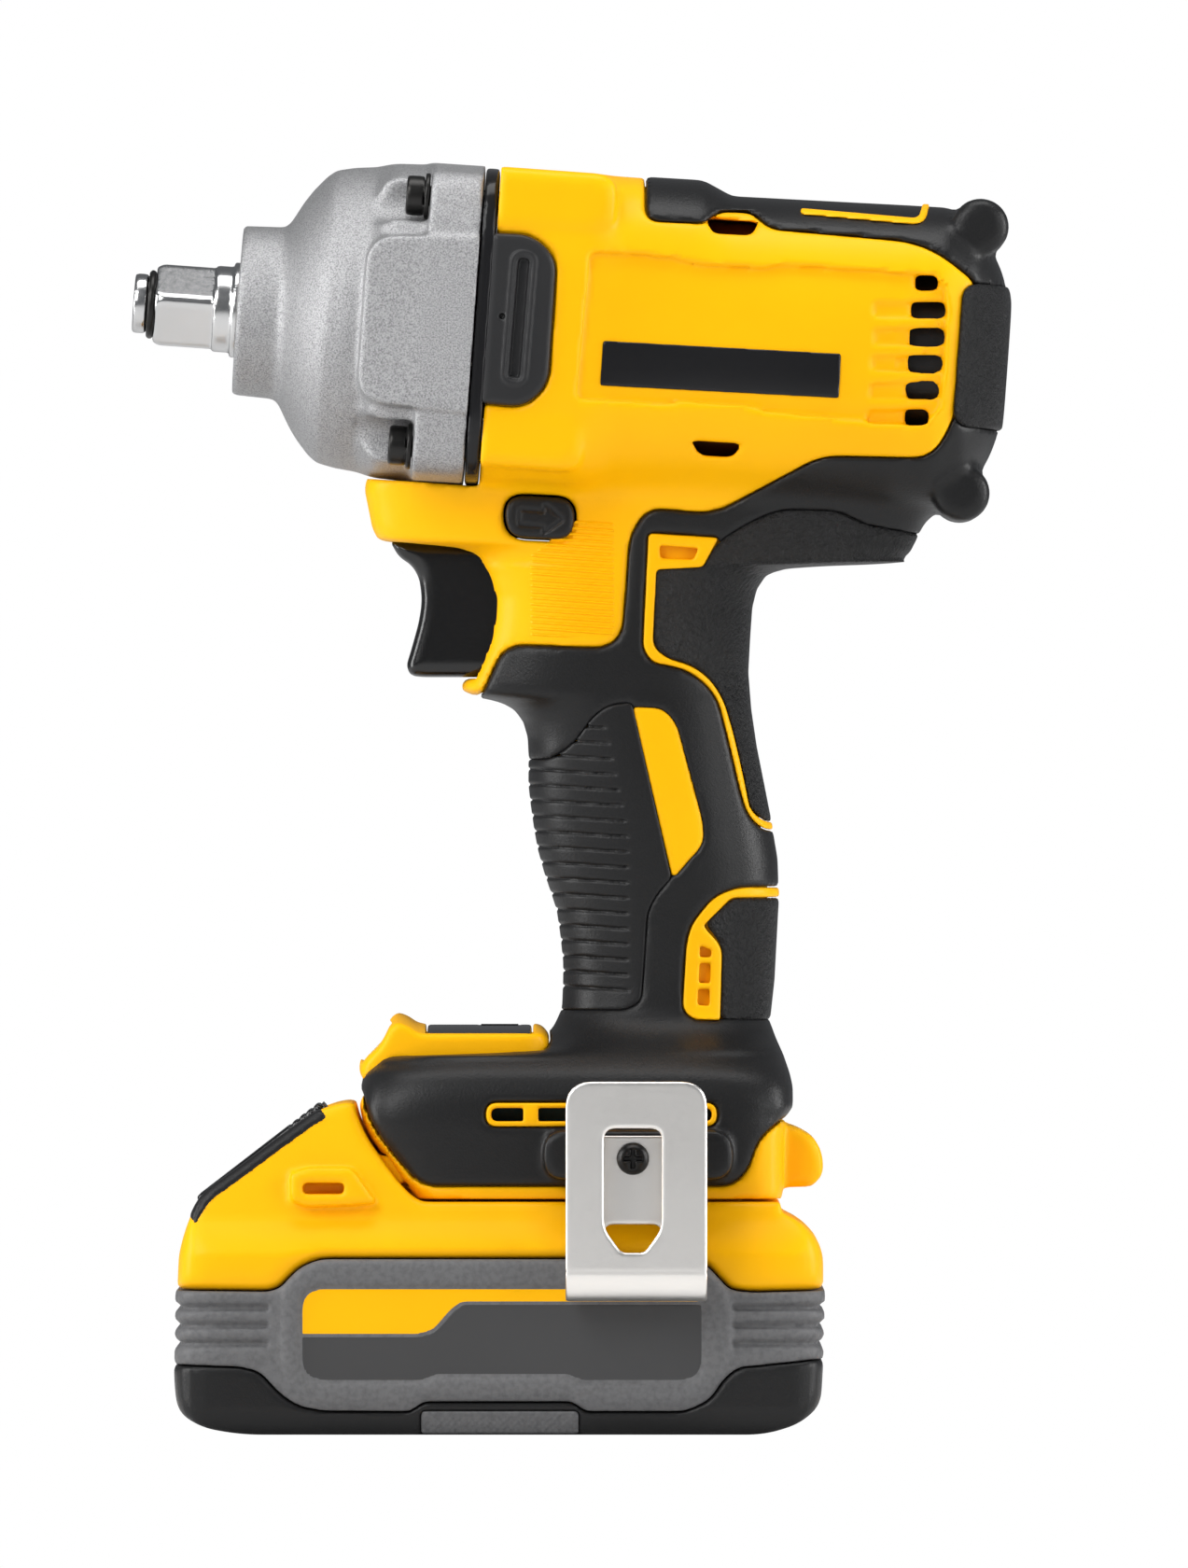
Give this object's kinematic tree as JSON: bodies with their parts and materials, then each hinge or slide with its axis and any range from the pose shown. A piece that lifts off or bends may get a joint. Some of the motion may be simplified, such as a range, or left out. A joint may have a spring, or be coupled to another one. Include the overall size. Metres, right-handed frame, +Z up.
{
  "type": "impact wrench",
  "caption": "Cordless square-drive impact wrench with pistol grip, work light, belt hook and slide-on battery pack.",
  "frame": {"origin": "centre of the battery's flat base", "axes": "+Z up from the base, +X towards the back of the head, +Y towards the tool's right side"},
  "size_m": [0.1781, 0.0943, 0.2553],
  "materials": {
    "yellow_plastic": "satin moulded plastic",
    "black_overmould": "fine grained soft overmould",
    "textured_pad": "leather-grained soft pad",
    "plate_grey": "satin",
    "cast_aluminium": "bead-blasted casting",
    "steel": "ground and polished",
    "dark_steel": "black oxide",
    "bronze": "sintered",
    "nickel_strip": "nickel plated strip",
    "pack_grey": "grained moulded plastic",
    "gloss_black": "gloss",
    "lens": "clear",
    "motor_copper": "wound copper on a steel core",
    "potted_board": "potted"
  },
  "bodies": {
    "tool": {"housing_left": "yellow_plastic", "housing_right": "yellow_plastic", "grip_badge_left": "yellow_plastic", "grip_badge_right": "yellow_plastic", "light_bezel": "yellow_plastic", "overmould_left": "black_overmould", "overmould_right": "black_overmould", "finger_pad_left": "textured_pad", "finger_pad_right": "textured_pad", "palm_pad_left": "textured_pad", "palm_pad_right": "textured_pad", "heel_pad_left": "textured_pad", "heel_pad_right": "textured_pad", "rear_pad_left": "textured_pad", "rear_pad_right": "textured_pad", "side_plate_left": "plate_grey", "side_plate_right": "plate_grey", "switch_module": "plate_grey", "nose_housing": "cast_aluminium", "ring_gear": "steel", "front_bearing": "steel", "rear_bearing": "steel", "trigger_spring": "steel", "nose_screw_1": "dark_steel", "nose_screw_2": "dark_steel", "nose_screw_3": "dark_steel", "nose_screw_4": "dark_steel", "case_screw_1": "dark_steel", "case_screw_2": "dark_steel", "case_screw_3": "dark_steel", "hook_screw": "dark_steel", "anvil_bushing": "bronze", "belt_hook": "nickel_strip", "gearcase_spacer": "gloss_black", "mode_panel": "gloss_black", "terminal_block": "gloss_black", "motor_bracket": "gloss_black", "light_lens": "lens", "stator": "motor_copper", "control_module": "potted_board"},
    "cam": {"cam_carrier": "steel", "cam_ball_1": "steel", "cam_ball_2": "steel", "hammer_spring": "steel"},
    "anvil": {"anvil": "steel", "hog_ring": "dark_steel"},
    "hammer": {"hammer": "steel"},
    "planet_1": {"planet_gear_1": "steel"},
    "planet_2": {"planet_gear_2": "steel"},
    "planet_3": {"planet_gear_3": "steel"},
    "rotor": {"rotor": "steel", "fan": "gloss_black"},
    "trigger": {"trigger": "black_overmould"},
    "direction_button": {"direction_button": "black_overmould"},
    "mode_button": {"mode_button": "black_overmould"},
    "battery": {"battery_upper": "yellow_plastic", "battery_lower": "pack_grey", "battery_base": "black_overmould", "cell_stack": "plate_grey"},
    "release_button": {"release_button": "black_overmould"}
  },
  "joints": [
    {"name": "cam_spin", "type": "hinge", "parent": "tool", "child": "cam", "pos_m": [-0.0055, 0, 0.223], "axis": [0.9974, 0, -0.0715], "continuous": true},
    {"name": "anvil_spin", "type": "hinge", "parent": "tool", "child": "anvil", "pos_m": [-0.0055, 0, 0.223], "axis": [0.9974, 0, -0.0715], "continuous": true},
    {"name": "hammer_slide", "type": "slide", "parent": "cam", "child": "hammer", "axis": [0.9974, 0, -0.0715], "range_m": [0, 0.0075], "stiffness_N_per_m": 6000, "springref_m": -0.003, "deforming": ["hammer_spring"]},
    {"name": "planet_1_spin", "type": "hinge", "parent": "cam", "child": "planet_1", "pos_m": [-0.0055, 0.0135, 0.223], "axis": [0.9974, 0, -0.0715], "continuous": true},
    {"name": "planet_2_spin", "type": "hinge", "parent": "cam", "child": "planet_2", "pos_m": [-0.00466, -0.00675, 0.23466], "axis": [0.9974, 0, -0.0715], "continuous": true},
    {"name": "planet_3_spin", "type": "hinge", "parent": "cam", "child": "planet_3", "pos_m": [-0.00634, -0.00675, 0.21134], "axis": [0.9974, 0, -0.0715], "continuous": true},
    {"name": "rotor_spin", "type": "hinge", "parent": "tool", "child": "rotor", "pos_m": [-0.0055, 0, 0.223], "axis": [0.9974, 0, -0.0715], "continuous": true},
    {"name": "trigger_press", "type": "slide", "parent": "tool", "child": "trigger", "axis": [1, 0, 0], "range_m": [0, 0.008], "stiffness_N_per_m": 700, "springref_m": -0.002, "deforming": ["trigger_spring"]},
    {"name": "direction_slide", "type": "slide", "parent": "tool", "child": "direction_button", "axis": [0, 1, 0], "range_m": [-0.003, 0.003]},
    {"name": "mode_press", "type": "slide", "parent": "tool", "child": "mode_button", "axis": [0, 0, -1], "range_m": [0, 0.0008], "stiffness_N_per_m": 800, "springref_m": -0.0005},
    {"name": "battery_slide", "type": "slide", "parent": "tool", "child": "battery", "axis": [-1, 0, 0], "range_m": [0, 0.075]},
    {"name": "release_press", "type": "slide", "parent": "battery", "child": "release_button", "axis": [0.6099, 0, -0.7925], "range_m": [0, 0.0025], "stiffness_N_per_m": 1500, "springref_m": -0.001}
  ],
  "couplings": [
    {"joint": "anvil_spin", "follows": "cam_spin", "ratio": 1},
    {"joint": "planet_1_spin", "follows": "cam_spin", "ratio": -3},
    {"joint": "planet_2_spin", "follows": "cam_spin", "ratio": -3},
    {"joint": "planet_3_spin", "follows": "cam_spin", "ratio": -3},
    {"joint": "rotor_spin", "follows": "cam_spin", "ratio": 4}
  ]
}
